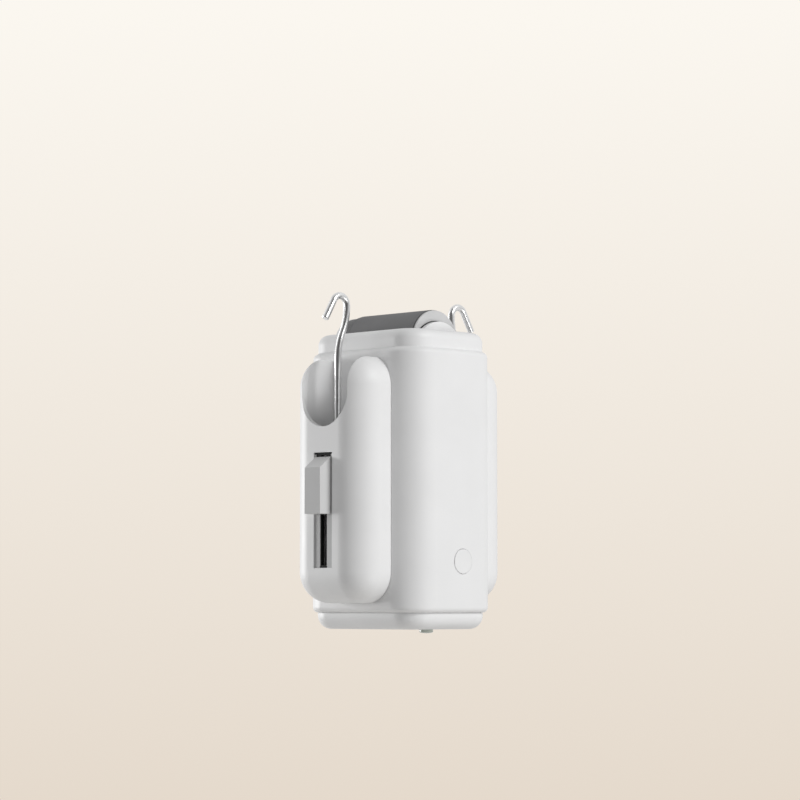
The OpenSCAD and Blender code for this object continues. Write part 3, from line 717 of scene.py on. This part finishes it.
def make_socket_tongue():
    """Tongue in the charging socket's mouth, with its row of contacts on both faces."""
    low, high = span("usb_socket")
    middle_x = (low.x + high.x) / 2
    middle_y = (low.y + high.y) / 2
    half_w = 3.2
    half_t = 0.35
    tip_z = low.z + 1.2
    root_z = low.z + 6.4
    corner = Vector((half_w, half_t, 0))
    tip = Vector((middle_x, middle_y, tip_z))
    root = Vector((middle_x, middle_y, root_z))
    bm = bmesh.new()
    add_box(bm, tip - corner, root + corner)
    place_piece(finish_mesh(bm, "socket_tongue"), BLACK, "housing", "black_plastic")
    contacts = bmesh.new()
    count = 8
    pitch = 0.7
    contact_half = 0.15
    contact_t = 0.04
    near_z = tip_z + 0.3
    far_z = root_z - 0.6
    for face in (-1, 1):
        under, over = sorted((middle_y + face * half_t, middle_y + face * (half_t + contact_t)))
        for i in range(count):
            x = middle_x + (i - (count - 1) / 2) * pitch
            add_box(contacts, (x - contact_half, under, near_z), (x + contact_half, over, far_z))
    place_piece(finish_mesh(contacts, "socket_contacts"), CONTACT, "housing", "bronze")


make_shells()
make_seam_bead()
make_pods()
make_slot_shades()
make_sliders()
make_roller()
make_arch_gap_shade()
make_hooks()
make_button()
make_lens()
make_rear_screws()
make_socket_tongue()


# Studio

VIEW_AHEAD = (math.sin(math.radians(45)), math.cos(math.radians(45)), 0)
AMBIENT = 0.345
BACKDROP_RANGE = (-0.07, 0.20)
BACKDROP_FOOT = (0.780, 0.697, 0.604, 1)
BACKDROP_HEAD = (0.965, 0.930, 0.871, 1)
REFLECTED = (0.8, 0.8, 0.8, 1)
FADE_RANGE = (-0.75, 0.15)
FADE_LEAST = 0.10
# Middle of the part, which the lamps face, and the lamps from there: place, size and power
AIM = Vector((0, 0, -0.06))
LAMPS = (
    ("key_low", (0.21, -1.26, -0.60), 0.45, 4.7),
    ("key_high", (0.19, -1.14, 0.81), 0.45, 8.8),
    ("rim_low", (-0.26, 0.72, -0.01), 0.24, 3.1),
    ("rim_high", (-0.63, 1.05, 0.70), 0.45, 1.5),
)


def soft_light(name, place, target, size, power):
    """Square soft light that faces the target."""
    data = bpy.data.lights.new(name, "AREA")
    data.size = size
    data.energy = power
    light = bpy.data.objects.new(name, data)
    light.location = place
    light.rotation_euler = (target - place).to_track_quat("-Z", "Y").to_euler()
    bpy.context.scene.collection.objects.link(light)


def studio_world():
    """Even ambient light, a cream backdrop for the camera and a plain pale one for reflections."""
    world = bpy.data.worlds.new("studio")
    world.use_nodes = True
    tree = world.node_tree
    tree.nodes.clear()
    output = tree.nodes.new("ShaderNodeOutputWorld")
    place = tree.nodes.new("ShaderNodeTexCoord")
    split = tree.nodes.new("ShaderNodeSeparateXYZ")
    height = tree.nodes.new("ShaderNodeMapRange")
    height.inputs["From Min"].default_value = BACKDROP_RANGE[0]
    height.inputs["From Max"].default_value = BACKDROP_RANGE[1]
    ramp = tree.nodes.new("ShaderNodeValToRGB")
    ramp.color_ramp.elements[0].color = BACKDROP_FOOT
    ramp.color_ramp.elements[1].color = BACKDROP_HEAD
    seen = tree.nodes.new("ShaderNodeBackground")
    reflected = tree.nodes.new("ShaderNodeBackground")
    reflected.inputs["Color"].default_value = REFLECTED
    ambient = tree.nodes.new("ShaderNodeBackground")
    ambient.inputs["Color"].default_value = (1, 1, 1, 1)
    ambient.inputs["Strength"].default_value = AMBIENT
    # Reflections fade to dark towards the camera's end of the studio
    ahead = tree.nodes.new("ShaderNodeVectorMath")
    ahead.operation = "DOT_PRODUCT"
    ahead.inputs[1].default_value = VIEW_AHEAD
    fade = tree.nodes.new("ShaderNodeMapRange")
    fade.inputs["From Min"].default_value = FADE_RANGE[0]
    fade.inputs["From Max"].default_value = FADE_RANGE[1]
    fade.inputs["To Min"].default_value = FADE_LEAST
    path = tree.nodes.new("ShaderNodeLightPath")
    direct = tree.nodes.new("ShaderNodeMath")
    direct.operation = "MAXIMUM"
    mix_gloss = tree.nodes.new("ShaderNodeMixShader")
    mix = tree.nodes.new("ShaderNodeMixShader")
    tree.links.new(place.outputs["Generated"], split.inputs["Vector"])
    tree.links.new(place.outputs["Generated"], ahead.inputs[0])
    tree.links.new(ahead.outputs["Value"], fade.inputs["Value"])
    tree.links.new(fade.outputs["Result"], reflected.inputs["Strength"])
    tree.links.new(split.outputs["Z"], height.inputs["Value"])
    tree.links.new(height.outputs["Result"], ramp.inputs["Fac"])
    tree.links.new(ramp.outputs["Color"], seen.inputs["Color"])
    tree.links.new(path.outputs["Is Camera Ray"], direct.inputs[0])
    tree.links.new(path.outputs["Is Transmission Ray"], direct.inputs[1])
    tree.links.new(path.outputs["Is Glossy Ray"], mix_gloss.inputs["Fac"])
    tree.links.new(ambient.outputs["Background"], mix_gloss.inputs[1])
    tree.links.new(reflected.outputs["Background"], mix_gloss.inputs[2])
    tree.links.new(direct.outputs["Value"], mix.inputs["Fac"])
    tree.links.new(mix_gloss.outputs["Shader"], mix.inputs[1])
    tree.links.new(seen.outputs["Background"], mix.inputs[2])
    tree.links.new(mix.outputs["Shader"], output.inputs["Surface"])
    bpy.context.scene.world = world


def floor():
    """Pale floor below the hanging part, which fades out before the backdrop."""
    drop = -0.95
    fade_start = 0.3
    fade_end = 0.8
    bm = bmesh.new()
    bmesh.ops.create_circle(bm, cap_ends=True, segments=96, radius=fade_end)
    mesh = bpy.data.meshes.new("floor")
    bm.to_mesh(mesh)
    bm.free()
    obj = bpy.data.objects.new("floor", mesh)
    obj.location = (0, 0, drop)
    bpy.context.scene.collection.objects.link(obj)
    material, tree, shader = node_tree("pale_floor")
    shader.inputs["Base Color"].default_value = (0.80, 0.76, 0.70, 1)
    shader.inputs["Roughness"].default_value = 0.7
    place = tree.nodes.new("ShaderNodeTexCoord")
    reach = tree.nodes.new("ShaderNodeVectorMath")
    reach.operation = "LENGTH"
    fade = tree.nodes.new("ShaderNodeMapRange")
    fade.interpolation_type = "SMOOTHSTEP"
    fade.inputs["From Min"].default_value = fade_start
    fade.inputs["From Max"].default_value = fade_end
    clear = tree.nodes.new("ShaderNodeBsdfTransparent")
    mix = tree.nodes.new("ShaderNodeMixShader")
    output = tree.nodes["Material Output"]
    tree.links.new(place.outputs["Object"], reach.inputs[0])
    tree.links.new(reach.outputs["Value"], fade.inputs["Value"])
    tree.links.new(fade.outputs["Result"], mix.inputs["Fac"])
    tree.links.new(shader.outputs["BSDF"], mix.inputs[1])
    tree.links.new(clear.outputs["BSDF"], mix.inputs[2])
    tree.links.new(mix.outputs["Shader"], output.inputs["Surface"])
    dress(obj, material)


def camera():
    """Long lens in front of the left corner, a little above the underside."""
    focal_px = 2900
    frame_px = 800
    horizon_px = 600
    distance = 1.07
    height = -0.106
    pitch = math.atan((horizon_px - frame_px / 2) / focal_px)
    data = bpy.data.cameras.new("camera")
    data.sensor_width = 36
    data.lens = data.sensor_width * focal_px / frame_px
    obj = bpy.data.objects.new("camera", data)
    ahead = Vector(VIEW_AHEAD)
    obj.location = -ahead * distance + Vector((0, 0, height))
    look = ahead * math.cos(pitch) + Vector((0, 0, math.sin(pitch)))
    obj.rotation_euler = look.to_track_quat("-Z", "Y").to_euler()
    data.clip_start = 0.01
    bpy.context.scene.collection.objects.link(obj)
    bpy.context.scene.camera = obj


bpy.context.scene.view_settings.view_transform = "Standard"
studio_world()
for lamp, offset, size, power in LAMPS:
    soft_light(lamp, AIM + Vector(offset), AIM, size, power)
floor()
camera()
